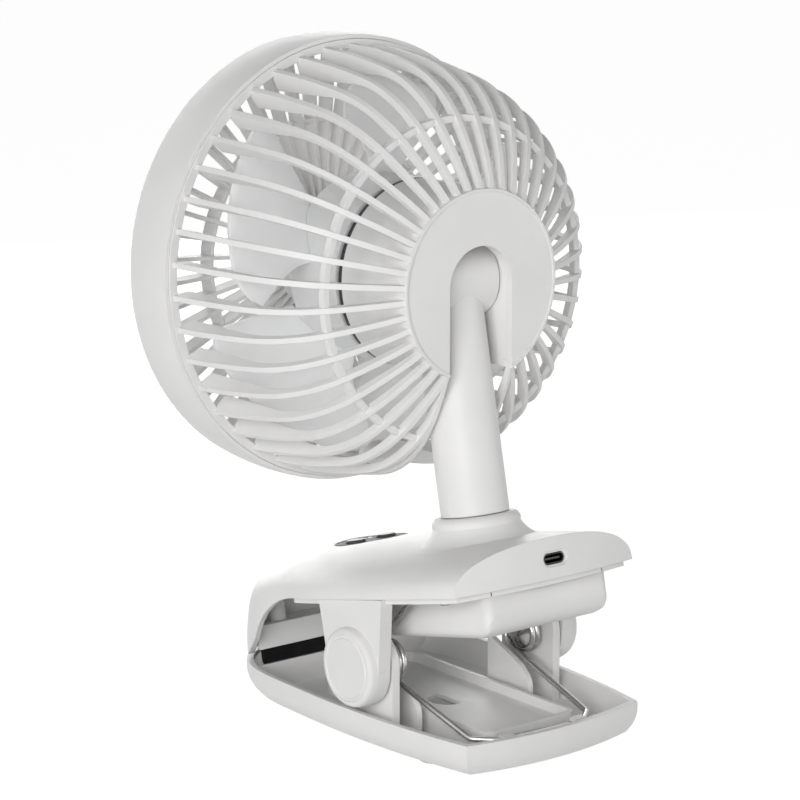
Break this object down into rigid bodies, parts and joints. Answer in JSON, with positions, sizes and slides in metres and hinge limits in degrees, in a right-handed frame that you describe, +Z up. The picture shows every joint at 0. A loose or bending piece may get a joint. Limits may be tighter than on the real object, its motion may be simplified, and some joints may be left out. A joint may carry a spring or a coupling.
{
  "type": "clip fan",
  "caption": "Cordless desk fan on a spring clip base, with a ribbed deep guard, a tilting head, a swivelling neck and a charging port at the rear.",
  "frame": {"origin": "on the floor under the middle of the bounding box, between the feet of the lower clip half", "axes": "+Z up; +Y toward the rear, where the charging port is; the fan blows toward -Y; X along the clip's hinge"},
  "size_m": [0.1626, 0.1442, 0.2436],
  "materials": {
    "white_plastic": "satin, fine texture",
    "grey_rubber": "matte",
    "steel": "drawn wire, bright",
    "black_foam": "fine-celled foam",
    "panel_black": "gloss",
    "light_guide": "clear, frosted end",
    "socket_metal": "blackened",
    "circuit_board": "lacquered",
    "cell_wrap": "shrink wrap",
    "screw_steel": "zinc plated",
    "button_plastic": "satin",
    "inner_plastic": "natural nylon",
    "wire_sheath": "smooth",
    "ring_black": "matte",
    "winding": "enamelled copper on steel laminations",
    "blade_plastic": "translucent",
    "rotor_steel": "zinc plated"
  },
  "bodies": {
    "lower_clip": {"lower_jaw": "white_plastic", "rubber_feet": "grey_rubber", "hinge_pins": "steel", "torsion_spring": "steel"},
    "upper_clip": {"upper_shell": "white_plastic", "battery_tray": "white_plastic", "pivot_caps": "white_plastic", "jaw_plate": "white_plastic", "jaw_pad": "black_foam", "control_panel": "panel_black", "indicator_lights": "light_guide", "usb_socket": "socket_metal", "charge_board": "circuit_board", "control_board": "circuit_board", "battery_cells": "cell_wrap", "spring_arms": "steel", "tray_screws": "screw_steel", "plate_screws": "screw_steel"},
    "power_key": {"power_button": "button_plastic"},
    "timer_key": {"timer_button": "button_plastic"},
    "neck": {"neck_tube": "white_plastic", "swivel_retainer": "inner_plastic", "neck_wire": "wire_sheath"},
    "head": {"rear_guard": "white_plastic", "motor_housing": "white_plastic", "mount_ring": "ring_black", "motor_stator": "winding", "front_cover": "white_plastic", "centre_cap": "white_plastic", "tilt_axle": "steel", "friction_washers": "inner_plastic"},
    "fan_wheel": {"impeller": "blade_plastic", "motor_rotor": "rotor_steel", "motor_shaft": "steel", "shaft_nut": "screw_steel"}
  },
  "joints": [
    {"name": "clip_hinge", "type": "hinge", "parent": "lower_clip", "child": "upper_clip", "pos_m": [0, 0.011, 0.0315], "axis": [-1, 0, 0], "range_deg": [0, 34], "stiffness_Nm_per_rad": 0.85, "springref_deg": -60.16},
    {"name": "power_press", "type": "slide", "parent": "upper_clip", "child": "power_key", "axis": [0, 0.2079, -0.9781], "range_m": [0, 0.0006], "stiffness_N_per_m": 1000, "springref_m": -0.0005},
    {"name": "timer_press", "type": "slide", "parent": "upper_clip", "child": "timer_key", "axis": [0, 0.2079, -0.9781], "range_m": [0, 0.0006], "stiffness_N_per_m": 1000, "springref_m": -0.0005},
    {"name": "neck_swivel", "type": "hinge", "parent": "upper_clip", "child": "neck", "pos_m": [0, 0.03272, 0.03612], "axis": [0, -0.2079, 0.9781], "range_deg": [-175, 175]},
    {"name": "head_tilt", "type": "hinge", "parent": "neck", "child": "head", "pos_m": [0, 0.00589, 0.1623], "axis": [-1, 0, 0], "range_deg": [-12, 75]},
    {"name": "fan_spin", "type": "hinge", "parent": "head", "child": "fan_wheel", "pos_m": [0, -0.03, 0.1623], "axis": [0, -1, 0], "continuous": true}
  ]
}
